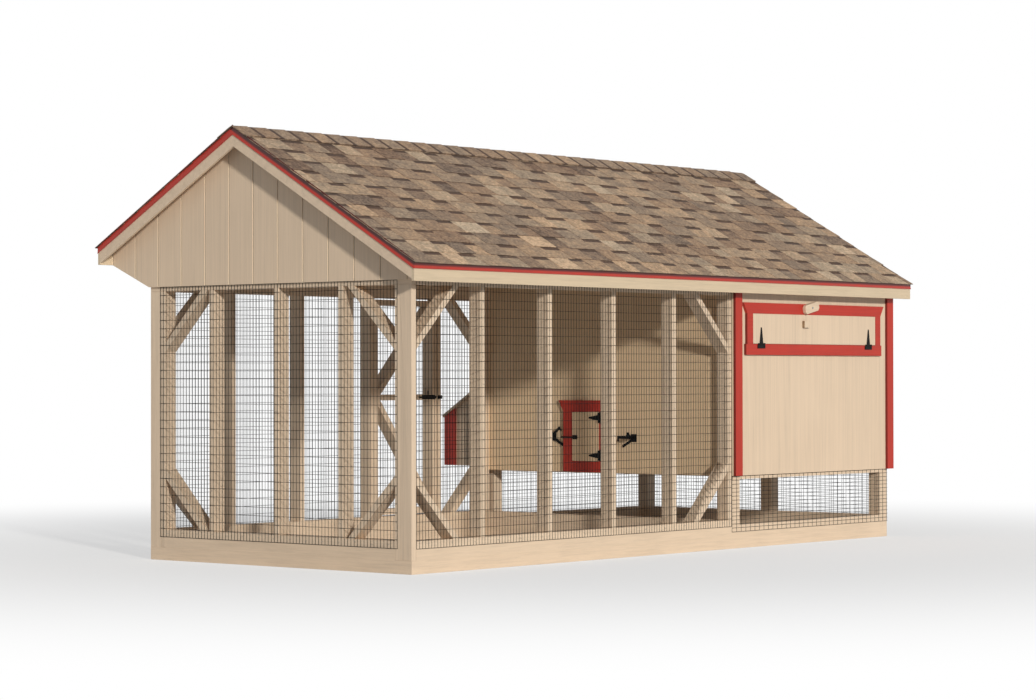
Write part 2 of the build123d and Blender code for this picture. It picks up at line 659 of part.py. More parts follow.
nodes["run_door_frame"].append(diagonal(middle_z + board, door_z1 - board))
nodes["run_door_frame"].append(diagonal(middle_z, door_z0 + board))
nodes["run_door_mesh"] = [net("y", width, door_x0, door_x1, door_z0, door_z1)]
nodes["run_door_straps"] = []
mesh_face = width + mesh_gauge
door_axis = door_x0 - door_gap / 2
for z in (door_z0 + board / 2, middle_z + board / 2, door_z1 - board / 2):
    plane = Plane(origin=(door_axis, mesh_face, z), x_dir=(0, 0, 1), z_dir=(0, 1, 0))
    add_butt(plane, 28)
    nodes["run_door_straps"].append(strap(plane, 230))

# Slide bolt on the inner face of the run door, resting drawn back, with its keeper on the stud
bolt_radius = 5.0
bolt_z = middle_z + board / 2
bolt_y = far_y - leaf - 8
bolt_tip = door_x1 - 14
bolt_back = bolt_tip - 165
keeper_x = door_stud_right + 3
guide = block(bolt_tip - 130, bolt_tip + 2, far_y - leaf, far_y, bolt_z - 15, bolt_z + 15)
for x in (bolt_tip - 105, bolt_tip - 22):
    guide += block(x, x + 14, bolt_y - 9, far_y, bolt_z - 9, bolt_z + 9)
bore = Pos((bolt_back + bolt_tip) / 2, bolt_y, bolt_z) * Rot(0, 90, 0)
nodes["bolt_guide"] = [guide - bore * Cylinder(bolt_radius + pin_gap, 400)]
bolt = bore * Cylinder(bolt_radius, bolt_tip - bolt_back)
bolt += Pos(bolt_tip - 82, bolt_y, bolt_z + 22) * Cylinder(3, 44)
nodes["slide_bolt"] = [bolt]
keeper = block(keeper_x, keeper_x + 24, bolt_y - 10, far_y, bolt_z - 12, bolt_z + 12)
nodes["latch_plates"].append(keeper - bore * Cylinder(bolt_radius + 0.6, 600))

# Nest box on the far wall with dividers, corner trim and a hinged sloping lid
nest_wall = width + sheet
nest_front = nest_wall + 319
lid_pitch = 0.64
lid_tip = nest_front + 25
lid_stretch = math.hypot(1, lid_pitch)


def lid_z(y, depth=0.0):
    """Height of the lid surface, or of a layer under it."""
    return nest_lid_top - lid_pitch * (y - nest_wall) - depth * lid_stretch


def nest_panel(y0, y1, z, x0, x1):
    """Upright panel cut to the slope of the lid."""
    return prism_x([(y0, z), (y1, z), (y1, lid_z(y1, sheet)), (y0, lid_z(y0, sheet))], x0, x1)


nest_in0 = nest_x0 + sheet
nest_in1 = nest_x1 - sheet
nodes["nest_box"] = [
    nest_panel(nest_wall, nest_front, nest_bottom, nest_x0, nest_in0),
    nest_panel(nest_wall, nest_front, nest_bottom, nest_in1, nest_x1),
    nest_panel(nest_front - sheet, nest_front, nest_floor, nest_in0, nest_in1),
    block(nest_in0, nest_in1, nest_wall, nest_front, nest_bottom, nest_floor),
]
nest_bays = 4
bay = (nest_in1 - nest_in0) / nest_bays
for i in range(1, nest_bays):
    x = nest_in0 + i * bay - sheet / 2
    nodes["nest_box"].append(block(x, x + sheet, nest_wall, nest_front - sheet, nest_floor, nest_floor + 240))
nodes["nest_trim"] = []
for x in (nest_x0 - trim, nest_x1 + trim - trim_width):
    nodes["nest_trim"].append(nest_panel(nest_front, nest_front + trim, nest_bottom, x, x + trim_width))
for a, b in ((nest_x0 - trim, nest_x0), (nest_x1, nest_x1 + trim)):
    nodes["nest_trim"].append(nest_panel(nest_front - trim_width, nest_front, nest_bottom, a, b))
lid_start = nest_wall + 8
lid_outline = [(lid_start, lid_z(lid_start)), (lid_tip, lid_z(lid_tip))]
lid_outline += [(lid_tip, lid_z(lid_tip, sheet)), (lid_start, lid_z(lid_start, sheet))]
nodes["nest_lid"] = [prism_x(lid_outline, nest_x0 - trim - 10, nest_x1 + trim + 10)]
lid_axis_y = nest_wall + hinge_radius
lid_axis_z = lid_z(lid_axis_y, -hinge_radius)
lid_normal = (0, lid_pitch / lid_stretch, 1 / lid_stretch)
nodes["nest_straps"] = []
for x in (nest_x0 + 220, nest_x1 - 220):
    add_butt(Plane(origin=(x, nest_wall, lid_axis_z), x_dir=(1, 0, 0), z_dir=(0, 1, 0)), 43)
    foot = (x, lid_axis_y - hinge_radius * lid_normal[1], lid_axis_z - hinge_radius * lid_normal[2])
    nodes["nest_straps"].append(strap(Plane(origin=foot, x_dir=(1, 0, 0), z_dir=lid_normal), 150))

# Clean-out door in the house end with strap hinges, a pull and a turn button
clean_y = (clean_y0 + door_gap, clean_y1 - door_gap)
clean_z = (floor_height + door_gap, clean_top - door_gap)
nodes["clean_door"] = [block(end_skin, end_face, *clean_y, *clean_z)]
pull_y = clean_y0 + 60
pull_z = floor_height + 480
nodes["clean_door"].append(block(end_face, end_face + trim, pull_y, pull_y + pull, pull_z, pull_z + pull))
nodes["clean_straps"] = []
for z in (floor_height + 120, clean_top - 120):
    plane = Plane(origin=(end_face, clean_y1 - door_gap / 2, z), x_dir=(0, 0, 1), z_dir=(1, 0, 0))
    add_butt(plane, 43)
    nodes["clean_straps"].append(strap(plane, 180))
button_at = (end_face, clean_y0 - trim_width / 2, floor_height + 400)
plane = Plane(origin=button_at, x_dir=(0, 1, 0), z_dir=(1, 0, 0))
button, screw = turn_button(plane, 60, 24, 22, 90)
nodes["clean_button"] = [button]
nodes["pivot_screws"].append(screw)

# One file per node, moved so that the origin is under the middle of the roof's outline
middle = Location((-length / 2, -(width + far_eave - near_eave) / 2, 0))
os.makedirs("parts", exist_ok=True)
for name, pieces in nodes.items():
    solids = [solid for piece in pieces for solid in piece.solids()]
    export_step(Compound(solids).moved(middle), f"parts/{name}.step")
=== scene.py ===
"""Chicken coop with a wire run: painted timber frame, raised house at one end, shingled roof."""

import math
import random

import bpy
from mathutils import Matrix, Vector


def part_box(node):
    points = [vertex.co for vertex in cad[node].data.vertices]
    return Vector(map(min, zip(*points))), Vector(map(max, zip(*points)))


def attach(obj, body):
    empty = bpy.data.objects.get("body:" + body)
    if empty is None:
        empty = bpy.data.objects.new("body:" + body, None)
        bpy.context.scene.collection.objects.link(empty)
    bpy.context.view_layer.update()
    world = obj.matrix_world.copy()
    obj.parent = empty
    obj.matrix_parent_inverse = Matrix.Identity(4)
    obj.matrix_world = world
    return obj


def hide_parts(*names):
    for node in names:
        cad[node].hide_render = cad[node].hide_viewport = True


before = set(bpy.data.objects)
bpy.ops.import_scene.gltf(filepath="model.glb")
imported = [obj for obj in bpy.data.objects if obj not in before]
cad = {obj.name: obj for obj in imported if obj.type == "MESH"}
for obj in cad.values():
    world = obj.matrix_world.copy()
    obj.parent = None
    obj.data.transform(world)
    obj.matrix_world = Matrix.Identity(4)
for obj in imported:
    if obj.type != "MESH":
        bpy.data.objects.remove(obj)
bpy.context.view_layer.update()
bpy.ops.object.select_all(action="DESELECT")


# The view: a long lens, low down, off the corner where the wire gable meets the near long side.
# Its place and turn were worked out from the corners of the timbers and the roof.
scene = bpy.context.scene
scene.view_settings.view_transform = "Standard"
turn, tilt, lean = math.radians(40.041), math.radians(0.525), math.radians(-0.081)
ahead = Vector((math.cos(tilt) * math.cos(turn), math.cos(tilt) * math.sin(turn), math.sin(tilt)))
across = Vector((math.sin(turn), -math.cos(turn), 0))
above = across.cross(ahead)
across, above = (
    across * math.cos(lean) + above * math.sin(lean),
    above * math.cos(lean) - across * math.sin(lean),
)
bpy.ops.object.camera_add(location=(-14.0965, -11.753, 1.109))
camera = bpy.context.object
camera.name = "view"
camera.matrix_world = (
    Matrix.Translation(camera.location) @ Matrix((across, above, -ahead)).transposed().to_4x4()
)
camera.data.lens, camera.data.sensor_width, camera.data.clip_end = 97.94, 36, 200
scene.camera = camera


# The stage: a pale floor that keeps the shadow and fades to white, one broad soft key from behind
# the right shoulder of the view, and an even pale sky for the rest.
def joined(tree, start, out, end, into):
    """Runs a wire from one node's outlet to another node's inlet."""
    tree.links.new(start.outputs[out], end.inputs[into])


def worked(tree, operation, *inlets):
    """One step of arithmetic on outlets, each as (node, outlet), and plain numbers."""
    step = tree.nodes.new("ShaderNodeMath")
    step.operation = operation
    for index, inlet in enumerate(inlets):
        if isinstance(inlet, tuple):
            joined(tree, *inlet, step, index)
        else:
            step.inputs[index].default_value = inlet
    return step


def ranged(tree, source, out, span, into, fall="LINEAR"):
    """Maps an outlet's values from one (low, high) span into another."""
    scale = tree.nodes.new("ShaderNodeMapRange")
    scale.interpolation_type = fall
    scale.inputs["From Min"].default_value, scale.inputs["From Max"].default_value = span
    scale.inputs["To Min"].default_value, scale.inputs["To Max"].default_value = into
    joined(tree, source, out, scale, "Value")
    return scale


def new_finish(name):
    """A fresh material, as itself, its nodes, its shader and the place on the piece."""
    finish = bpy.data.materials.new(name)
    finish.use_nodes = True
    tree = finish.node_tree
    return finish, tree, tree.nodes["Principled BSDF"], tree.nodes.new("ShaderNodeTexCoord")


def seen_mask(tree):
    """1 for what the view, a gloss or a clear sheet looks at, 0 for what only lights the coop."""
    rays = tree.nodes.new("ShaderNodeLightPath")
    looked_at = worked(tree, "MAXIMUM", (rays, "Is Camera Ray"), (rays, "Is Glossy Ray"))
    return worked(tree, "MAXIMUM", (looked_at, 0), (rays, "Is Transmission Ray"))


def backed(tree, under, over, share, end):
    """Lays one shader over another by a share and hands both to the end of the nodes."""
    blend = tree.nodes.new("ShaderNodeMixShader")
    joined(tree, share, 0, blend, 0)
    joined(tree, under, 0, blend, 1)
    joined(tree, over, 0, blend, 2)
    joined(tree, blend, 0, tree.nodes[end], "Surface")


bpy.ops.mesh.primitive_plane_add(size=160, location=(0, 0, -0.001))
floor = bpy.context.object
floor.name = "floor"
pale_floor, tree, ground, place = new_finish("pale_floor")
ground.inputs["Base Color"].default_value = (0.86, 0.86, 0.86, 1)
ground.inputs["Roughness"].default_value = 0.9
white = tree.nodes.new("ShaderNodeEmission")
white.inputs["Color"].default_value = (1, 1, 1, 1)
reach = tree.nodes.new("ShaderNodeVectorMath")
reach.operation = "LENGTH"
joined(tree, place, "Object", reach, 0)
shadow_ring = (2.5, 8.0)
fade = ranged(tree, reach, "Value", shadow_ring, (0.55, 1.0), "SMOOTHSTEP")
share = worked(tree, "MULTIPLY", (fade, "Result"), (seen_mask(tree), 0))
backed(tree, ground, white, share, "Material Output")
floor.data.materials.append(pale_floor)

sky = bpy.data.worlds.new("pale_sky")
sky.use_nodes = True
scene.world = sky
tree = sky.node_tree
lit = tree.nodes["Background"]
lit.inputs["Color"].default_value = (0.93, 0.96, 1.0, 1)
lit.inputs["Strength"].default_value = 0.21
plain = tree.nodes.new("ShaderNodeBackground")
plain.inputs["Color"].default_value = (1, 1, 1, 1)
backed(tree, lit, plain, seen_mask(tree), "World Output")

bpy.ops.object.light_add(type="SUN", location=(-5, -8, 4))
key = bpy.context.object
key.name = "key"
key.data.energy, key.data.angle = 2.55, math.radians(4)
key.data.color = (1.0, 0.965, 0.9)
key.rotation_euler = Vector((0.43, 0.86, -0.28)).to_track_quat("-Z", "Y").to_euler()


# Skids and sills: square softwood timbers lying in two layers on the ground, butted at the corners
# and nailed. They are painted beige; the long grain of the wood still shows through the paint.
def tone(code, lift=1.0):
    """A paint chip written as six hex digits, as the linear colour that a shader takes."""
    parts = [int(code[i : i + 2], 16) / 255 for i in (0, 2, 4)]
    return tuple(
        lift * (p / 12.92 if p <= 0.04045 else ((p + 0.055) / 1.055) ** 2.4) for p in parts
    ) + (1,)


def coats(chip, *stops):
    """One paint over a grain: (place, lift) stops of its chip, as (place, colour) stops."""
    return [(spot, tone(chip, lift)) for spot, lift in stops]


def speckled(tree, feed, out, scale, detail):
    """Noise over the points that an outlet feeds it, at a scale in specks a metre."""
    noise = tree.nodes.new("ShaderNodeTexNoise")
    noise.inputs["Scale"].default_value = scale
    noise.inputs["Detail"].default_value = detail
    joined(tree, feed, out, noise, "Vector")
    return noise


def shared_effect(name, inlets, outlets):
    """An effect that several finishes use, as itself, its inlet and its outlet."""
    effect = bpy.data.node_groups.new(name, "ShaderNodeTree")
    for label, kind in inlets:
        effect.interface.new_socket(label, in_out="INPUT", socket_type=kind)
    for label in outlets:
        effect.interface.new_socket(label, in_out="OUTPUT", socket_type="NodeSocketFloat")
    return effect, effect.nodes.new("NodeGroupInput"), effect.nodes.new("NodeGroupOutput")


wood_grain, inlet, outlet = shared_effect(
    "wood_grain",
    (("Place", "NodeSocketVector"), ("Fineness", "NodeSocketVector")),
    ("Streak", "Fibre", "Patch"),
)
drawn = wood_grain.nodes.new("ShaderNodeVectorMath")
drawn.operation = "MULTIPLY"
joined(wood_grain, inlet, "Place", drawn, 0)
joined(wood_grain, inlet, "Fineness", drawn, 1)
for label, feed, out, scale, detail, rough, wobble in (
    ("Streak", drawn, "Vector", 1.0, 5, 0.62, 0.5),
    ("Fibre", drawn, "Vector", 4.3, 4, 0.65, 0.2),
    ("Patch", inlet, "Place", 2.1, 3, 0.5, 0.3),
):
    noise = speckled(wood_grain, feed, out, scale, detail)
    noise.inputs["Roughness"].default_value = rough
    noise.inputs["Distortion"].default_value = wobble
    joined(wood_grain, noise, 0, outlet, label)


def mixed(tree, *shares):
    """Adds up outlets, each times its share, as (node, outlet, share)."""
    total = None
    for source, out, share in shares:
        if total is None:
            total = worked(tree, "MULTIPLY", (source, out), share)
        else:
            total = worked(tree, "MULTIPLY_ADD", (source, out), share, (total, 0))
    return total


def graded(tree, source, out, stops):
    """Colours an outlet's values by (place, colour) stops."""
    ramp = tree.nodes.new("ShaderNodeValToRGB")
    joined(tree, source, out, ramp, 0)
    ramp.color_ramp.elements.remove(ramp.color_ramp.elements[1])
    for index, (spot, colour) in enumerate(stops):
        stop = ramp.color_ramp.elements[0] if index == 0 else ramp.color_ramp.elements.new(spot)
        stop.position, stop.color = spot, colour
    return ramp


def embossed(tree, surface, source, out, height, strength):
    """Raises a surface by an outlet's values, up to a height in metres."""
    bump = tree.nodes.new("ShaderNodeBump")
    bump.inputs["Strength"].default_value = strength
    bump.inputs["Distance"].default_value = height
    joined(tree, source, out, bump, "Height")
    joined(tree, bump, "Normal", surface, "Normal")


def wood_finish(name, stops, fineness, gloss, relief, blend_in=(0.55, 0.25, 0.20)):
    """A wood surface: colours along the grain as (place, colour) stops, fineness per axis in streaks
    a metre, gloss as the lowest and highest roughness, relief as bump height in metres."""
    finish, tree, surface, place = new_finish(name)
    grain = tree.nodes.new("ShaderNodeGroup")
    grain.node_tree = wood_grain
    grain.inputs["Fineness"].default_value = fineness
    joined(tree, place, "Object", grain, "Place")
    depth = mixed(
        tree,
        (grain, "Streak", blend_in[0]),
        (grain, "Fibre", blend_in[1]),
        (grain, "Patch", blend_in[2]),
    )
    joined(tree, graded(tree, depth, 0, stops), "Color", surface, "Base Color")
    dull = ranged(tree, grain, "Fibre", (0.0, 1.0), gloss)
    joined(tree, dull, "Result", surface, "Roughness")
    rise = mixed(tree, (grain, "Streak", 0.6), (grain, "Fibre", 0.4))
    embossed(tree, surface, rise, 0, relief, 0.6)
    return finish


def dressed(finish, slot, *names, rounding=0.0):
    """Gives CAD pieces their finish, and takes the knife edge off sawn timber. The slot is not used."""
    for name in names:
        piece = cad[name]
        piece.data.materials.clear()
        piece.data.materials.append(finish)
        if rounding:
            weld = piece.modifiers.new("closed_corners", "WELD")
            weld.merge_threshold = 0.00002
            eased = piece.modifiers.new("eased_edges", "BEVEL")
            eased.width, eased.segments = rounding, 2
            eased.limit_method, eased.angle_limit = "ANGLE", math.radians(40)


beige = "E2CBB1"
planed = ((0.24, 0.66), (0.40, 0.89), (0.54, 1.0), (0.80, 1.10))
beige_stops = coats(beige, *planed)
level_timber = wood_finish("beige_level_timber", beige_stops, (3, 3, 75), (0.5, 0.75), 0.0012)
dressed(level_timber, "beige_paint", "skids", "sills", rounding=0.0008)


# Posts and studs: planed softwood uprights between the sills and the top beams, painted beige.
# The run's corner posts are pairs of boards nailed into an L; the studs stand flat to the wire.
upright_timber = wood_finish("beige_upright_timber", beige_stops, (70, 70, 2.2), (0.5, 0.75), 0.0010)
dressed(upright_timber, "beige_paint", "posts", "run_studs", rounding=0.002)


# Knee braces: short boards cut at both ends to forty-five degrees, nailed across the corners of
# every run wall to keep it square.
slant_timber = wood_finish("beige_slant_timber", beige_stops, (26, 26, 26), (0.5, 0.75), 0.0008)
dressed(slant_timber, "beige_paint", "knee_braces", rounding=0.002)


# Top beams and the raised far wall: boards on edge that carry the rafters, nailed to the posts and
# painted like them.
dressed(level_timber, "beige_paint", "top_beams", "far_upper_wall", rounding=0.002)


# Rafters, ridge board and roof deck: bare softwood and sheathing, left unpainted under the roof.
# The wood is dry and a little darkened, with long streaks and small knots.
pine = "B08A5E"
pine_stops = coats(pine, (0.20, 0.42), (0.40, 0.78), (0.55, 1.0), (0.78, 1.22))
bare_slope = wood_finish("bare_slope_timber", pine_stops, (60, 5, 40), (0.6, 0.85), 0.0010)
bare_level = wood_finish("bare_level_timber", pine_stops, (3, 60, 60), (0.6, 0.85), 0.0010)
dressed(bare_slope, "bare_wood", "rafters", rounding=0.0015)
dressed(bare_level, "bare_wood", "ridge_board", rounding=0.0015)
dressed(bare_level, "bare_wood", "roof_deck")


# Fascia, barge boards and the far soffit: planed trim boards nailed round the edge of the roof.
# The fascia runs level along the eaves and is coloured a little darker than the other boards; the barge
# boards climb the gables.
fascia_beige = "D8C4A7"
fascia_board = wood_finish(
    "darker_beige_fascia", coats(fascia_beige, *planed), (3, 3, 75), (0.5, 0.75), 0.0012
)
dressed(fascia_board, "beige_paint", "fascia_boards", rounding=0.0015)
dressed(level_timber, "beige_paint", "far_soffit", rounding=0.0015)
dressed(slant_timber, "beige_paint", "barge_boards", rounding=0.0015)


# Drip edges: thin folded sheet metal in brick red, nailed along eaves and rakes under the shingles.
# The coating has a low sheen and fine pits; just under the shingle edge it is painted darker as painted
# shadow of the shingles' overhang.
brick = "B62F1E"
coat_marks, inlet, outlet = shared_effect(
    "coat_marks", (("Place", "NodeSocketVector"), ("Pitting", "NodeSocketFloat")), ("Cloud", "Pits")
)
joined(coat_marks, speckled(coat_marks, inlet, "Place", 7.0, 4), 0, outlet, "Cloud")
pits = speckled(coat_marks, inlet, "Place", 1.0, 2)
joined(coat_marks, inlet, "Pitting", pits, "Scale")
joined(coat_marks, pits, 0, outlet, "Pits")


def sheet_metal(name, code, gloss, metal, pitting, shine=0.5):
    """A coated metal: even colour with a faint cloud and fine pits, low and high roughness."""
    finish, tree, surface, place = new_finish(name)
    surface.inputs["Metallic"].default_value = metal
    surface.inputs["Specular IOR Level"].default_value = shine
    marks = tree.nodes.new("ShaderNodeGroup")
    marks.node_tree = coat_marks
    marks.inputs["Pitting"].default_value = pitting
    joined(tree, place, "Object", marks, "Place")
    cover = mixed(tree, (marks, "Cloud", 0.7), (marks, "Pits", 0.3))
    paint = graded(tree, cover, 0, coats(code, (0.3, 0.86), (0.7, 1.08)))
    joined(tree, paint, "Color", surface, "Base Color")
    dull = ranged(tree, marks, "Cloud", (0.0, 1.0), gloss)
    joined(tree, dull, "Result", surface, "Roughness")
    embossed(tree, surface, marks, "Pits", 0.0004, 0.25)
    return finish


def tinted(tree, surface, paint, tint, out):
    """Colours a surface with a paint node times what another outlet gives."""
    both = tree.nodes.new("ShaderNodeMix")
    both.data_type, both.blend_type = "RGBA", "MULTIPLY"
    both.inputs["Factor"].default_value = 1.0
    first_colour, second_colour, colour = 6, 7, 2
    joined(tree, paint, "Color", both, first_colour)
    joined(tree, tint, out, both, second_colour)
    joined(tree, both, colour, surface, "Base Color")


red_metal = sheet_metal("brick_red_metal", brick, (0.32, 0.5), 0.0, 260)
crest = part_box("near_shingles")[1]
near_pitch, far_pitch = 0.574, 0.5625
far_eave_shift = 0.035
shingle_shadow_band = (crest.z - 0.027, crest.z - 0.019)
tree = red_metal.node_tree
surface = tree.nodes["Principled BSDF"]
paint = surface.inputs["Base Color"].links[0].from_node
place = tree.nodes.new("ShaderNodeTexCoord")
axes = tree.nodes.new("ShaderNodeSeparateXYZ")
joined(tree, place, "Object", axes, 0)
# Painted shadow: over a band just below the shingle surface, the sheet's colour is cut to a fifth, where
# the shingles' overhang would shade it.
near_fall = worked(tree, "MULTIPLY_ADD", (axes, "Y"), -near_pitch, near_pitch * crest.y)
far_fall = worked(tree, "MULTIPLY_ADD", (axes, "Y"), far_pitch, -far_pitch * crest.y - far_eave_shift)
below_crest = worked(tree, "MAXIMUM", (near_fall, 0), (far_fall, 0))
level = worked(tree, "ADD", (axes, "Z"), (below_crest, 0))
tinted(tree, surface, paint, ranged(tree, level, 0, shingle_shadow_band, (1.0, 0.20)), "Result")
dressed(red_metal, "red_metal", "drip_edges")


# Shingles: laminated asphalt shingles, each strip a backing with random teeth glued on top, laid in
# courses up from the eaves. A dark band is printed at the top of every gap between two teeth.
granules, tree, surface, place = new_finish("brown_granules")
shade = tree.nodes.new("ShaderNodeAttribute")
shade.attribute_name = "tone"
batch = tree.nodes.new("ShaderNodeAttribute")
batch.attribute_name = "warmth"
fine, coarse, clump, cloud, blotch = [
    speckled(tree, place, "Object", scale, detail)
    for scale, detail in ((620, 1), (170, 2), (62, 2), (6, 3), (17, 2))
]
depth = mixed(
    tree,
    (shade, "Fac", 0.72),
    (fine, 0, 0.12),
    (coarse, 0, 0.42),
    (clump, 0, 0.66),
    (cloud, 0, 0.14),
    (blotch, 0, 0.40),
)
axes = tree.nodes.new("ShaderNodeSeparateXYZ")
joined(tree, place, "Object", axes, 0)
roof_rise = (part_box("near_shingles")[0].z, crest.z)
height = ranged(tree, axes, "Z", roof_rise, (0.42, 0.51))
level = worked(tree, "SUBTRACT", (depth, 0), (height, "Result"))
granule_codes = (
    (0.28, "46362D"),
    (0.44, "6F5C4E"),
    (0.56, "857160"),
    (0.66, "937E6B"),
    (0.76, "A38D76"),
    (0.88, "B79F86"),
    (1.0, "CCB69D"),
)
paint = graded(tree, level, 0, [(spot, tone(code, 1.3)) for spot, code in granule_codes])
cool, warm = (0.95, 1.0, 1.03, 1), (1.07, 0.99, 0.91, 1)
drift = mixed(tree, (blotch, 0, 0.6), (batch, "Fac", 0.4))
tinted(tree, surface, paint, graded(tree, drift, 0, ((0.30, cool), (0.70, warm))), "Color")
surface.inputs["Roughness"].default_value = 0.92
embossed(tree, surface, mixed(tree, (fine, 0, 0.6), (coarse, 0, 0.4)), 0, 0.0012, 0.7)

cut_asphalt, tree, surface, place = new_finish("cut_asphalt")
grit = speckled(tree, place, "Object", 240, 2)
paint = graded(tree, grit, 0, ((0.35, tone("1C1613")), (0.70, tone("5A4A3E"))))
joined(tree, paint, "Color", surface, "Base Color")
surface.inputs["Roughness"].default_value = 0.9
embossed(tree, surface, grit, 0, 0.0008, 1.0)


def only(piece):
    """Makes one piece the selected and active one."""
    if bpy.context.object:
        bpy.ops.object.mode_set(mode="OBJECT")
    bpy.ops.object.select_all(action="DESELECT")
    piece.select_set(True)
    bpy.context.view_layer.objects.active = piece
    return piece


def one_piece(name, parts, *finishes):
    """Joins parts into one named piece with its place in its mesh, and gives it its finishes."""
    bpy.ops.object.select_all(action="DESELECT")
    for part in parts:
        part.select_set(True)
    bpy.context.view_layer.objects.active = parts[0]
    bpy.ops.object.join()
    piece = bpy.context.object
    piece.name = piece.data.name = name
    piece.data.materials.clear()
    for finish in finishes:
        piece.data.materials.append(finish)
    return piece


def another(model):
    """A copy of a modelled part with a mesh of its own."""
    copy = model.copy()
    copy.data = model.data.copy()
    scene.collection.objects.link(copy)
    return copy


def marked(part, label, values):
    """Writes one value for each corner of a part, for its finish to read."""
    part.data.attributes.new(label, "FLOAT", "POINT").data.foreach_set("value", values)


bpy.ops.mesh.primitive_cube_add(size=1, location=(0.5, 0.5, 0.5))
tooth = bpy.context.object
bpy.ops.object.transform_apply()
for edge in tooth.data.edges:
    a, b = (tooth.data.vertices[i].co for i in edge.vertices)
    edge.select = a.y < 0.01 and b.y < 0.01 and abs(a.z - b.z) > 0.5
bpy.ops.object.mode_set(mode="EDIT")
bpy.ops.mesh.select_mode(type="EDGE")
bpy.ops.mesh.bevel(offset=0.035, segments=1)
bpy.ops.object.mode_set(mode="OBJECT")
only(tooth)

hump = 0.007
layers = 0.0035
apex = crest.z + layers * math.hypot(1, near_pitch) + hump
ridge = crest.y
roof_x0, roof_x1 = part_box("near_shingles")[0].x, crest.x


def lay_courses(name, tip, pitch, count, seed):
    """Shingles one slope from the eave tip to the ridge, course by course."""
    pick = random.Random(seed)
    way = 1 if tip < ridge else -1
    eave_z = apex - hump - abs(ridge - tip) * pitch
    slope = math.atan2(apex - eave_z, abs(ridge - tip))
    show = abs(ridge - tip) / math.cos(slope) / count

    def spot(x, along, lift):
        """A point of the slope, so far along it from the eave and lifted off it."""
        up, out = math.cos(slope), math.sin(slope)
        return Vector((x, tip + way * (along * up - lift * out), eave_z + along * out + lift * up))

    def lay(x0, x1, low, high, shade, top=0.0, drop=0.0, thick=0.0, taper=0.0):
        """One tab from x0 to x1 and from low to high; drop is how much its upper end lies deeper."""
        part = another(tooth)
        for v in part.data.vertices:
            a, b, c = v.co
            x = x0 + a * (x1 - x0) + taper * b * (2 * a - 1)
            x = min(max(x, roof_x0), roof_x1)
            v.co = spot(x, low + b * (high - low), top - drop * b - thick * (1 - c))
        if way < 0:
            part.data.flip_normals()
        # Painted shade: the lower corners of every tab are darkened, so its butt and sides grade dark
        # towards the bottom.
        under = [corner.co.z < 0.5 for corner in tooth.data.vertices]
        marked(part, "tone", [shade - 0.5 * below for below in under])
        marked(part, "warmth", [pick.random()] * len(under))
        return part

    starter = dict(top=-0.0036, drop=0.0012, thick=0.0034)
    tab = dict(drop=0.0050, thick=0.0028, taper=0.006)
    backing = dict(top=-0.0026, drop=0.0042, thick=0.0022)
    print_band = dict(top=-0.0046, drop=0.0006, thick=0.0012)
    lap, backing_lap, band_lap = 0.02, 0.02, 0.004
    stagger, repeat = 0.165, 0.37
    # The starter strip under the first course is coloured darkest, as painted shade under the eave's
    # shingle edge; the band is print.
    starter_painted_shade, dark_band = -0.5, -0.28
    parts = [lay(roof_x0, roof_x1, 0.0012, 0.06, starter_painted_shade, **starter)]
    for course in range(count):
        low = course * show
        high = low + show + (lap if course < count - 1 else 0.0)
        x = roof_x0 - pick.uniform(0.0, 0.1) - (course * stagger) % repeat
        while x < roof_x1:
            wide, gap = pick.uniform(0.13, 0.25), pick.uniform(0.12, 0.20)
            shade = min(max(pick.gauss(0.37, 0.15), 0.04), 0.66)
            if x + wide > roof_x0:
                parts.append(lay(x, x + wide, low, high, shade, **tab))
            x += wide
            if roof_x0 < x + gap and x < roof_x1:
                shade = min(max(pick.gauss(0.29, 0.13), 0.0), 0.6)
                start, end = x - backing_lap, x + gap + backing_lap
                parts.append(lay(start, end, low, high, shade, **backing))
                if course < count - 1:
                    foot = low + show - pick.uniform(0.025, 0.033)
                    start, end = x - band_lap, x + gap + band_lap
                    parts.append(lay(start, end, foot, high, dark_band, **print_band))
            x += gap
    piece = one_piece(name, parts, granules, cut_asphalt)
    for face in piece.data.polygons:
        at_rake = min(abs(face.center.x - roof_x0), abs(face.center.x - roof_x1)) < 0.0005
        if at_rake and abs(face.normal.x) > 0.9:
            face.material_index = 1
    return piece


near_roof = lay_courses("near_shingle_courses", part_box("near_shingles")[0].y, near_pitch, 12, 11)
far_roof = lay_courses("far_shingle_courses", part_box("far_shingles")[1].y, far_pitch, 10, 23)
for piece, stands_for in ((near_roof, "near_shingles"), (far_roof, "far_shingles")):
    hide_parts(stands_for)
    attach(piece, "coop")


# Ridge caps: single shingle tabs bent over the ridge, each lapping the next one, nailed under the
# lap. Their free ends look away from the run gable and stand a little proud; the strip of each cap
# just past the free end above it is painted dark as the shadow that end casts.
bpy.ops.mesh.primitive_grid_add(x_subdivisions=4, y_subdivisions=12, size=2)
cap = only(bpy.context.object)
cap_count = 33
cap_first = 0.125
cap_show = (roof_x1 - roof_x0 - cap_first) / (cap_count - 1)
cap_half = 0.121
cap_lap = 0.018
cap_shadow_width = 0.036
shadow_edge_width = 0.002
near_bend, far_bend, crease = 0.580, 0.568, 0.006
free_end_lift, bedding, side_curl = 0.0042, 0.0025, 0.0022
shadow_end = cap_lap + cap_shadow_width
stations = (0.0, cap_lap, shadow_end, shadow_end + shadow_edge_width, cap_lap + cap_show)
for v in cap.data.vertices:
    along, over = stations[round(2 * v.co.x + 2)], v.co.y * cap_half
    fall = near_bend if over < 0 else far_bend
    bend = math.hypot(over, crease) - crease / 2
    rise = free_end_lift * along / stations[-1] - bedding + side_curl * v.co.y * v.co.y
    v.co = (along, over, rise - fall * bend)
thick = cap.modifiers.new("thick", "SOLIDIFY")
thick.thickness, thick.offset = 0.0036, 1
bpy.ops.object.modifier_apply(modifier="thick")
shadow_from, shadow_to = cap_lap - shadow_edge_width / 2, shadow_end + shadow_edge_width / 2
pick = random.Random(5)
caps = []
